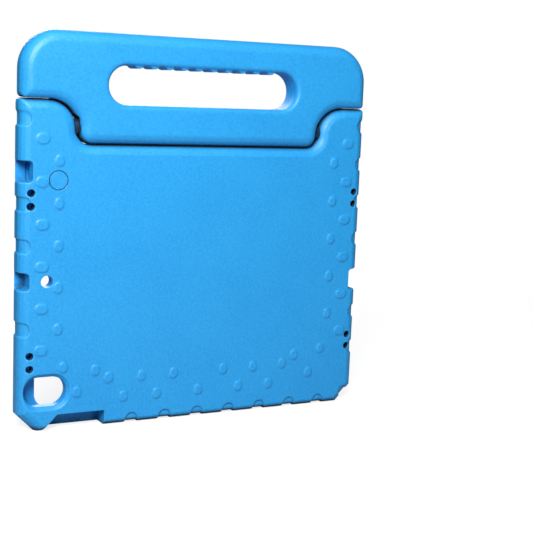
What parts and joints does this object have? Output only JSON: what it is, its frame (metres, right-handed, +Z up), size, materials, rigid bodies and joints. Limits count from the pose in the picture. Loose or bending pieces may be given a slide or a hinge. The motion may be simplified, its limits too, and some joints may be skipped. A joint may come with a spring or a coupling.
{
  "type": "tablet case",
  "caption": "Moulded foam case for a 10.5 inch tablet with a pivoting carrying handle that folds back as a stand.",
  "frame": {"origin": "middle of the footprint, at the bottom edge that the case stands on", "axes": "+Z up, +X towards the end with the camera window, -Y towards the screen side, +Y towards the back"},
  "size_m": [0.266, 0.0206, 0.271],
  "materials": {
    "case_foam": "matte fine-grained EVA foam",
    "handle_foam": "matte fine-grained EVA foam",
    "nylon": "dark blue nylon, moulded"
  },
  "bodies": {
    "case": {"case_body": "case_foam", "pivot_stud_left": "nylon", "pivot_stud_right": "nylon", "friction_washer_left": "nylon", "friction_washer_right": "nylon"},
    "carry_handle": {"handle": "handle_foam", "hinge_bush_left": "nylon", "hinge_bush_right": "nylon"}
  },
  "joints": [
    {"name": "handle_hinge", "type": "hinge", "parent": "case", "child": "carry_handle", "pos_m": [0, 0, 0.2072], "axis": [-1, 0, 0], "range_deg": [0, 92]}
  ]
}
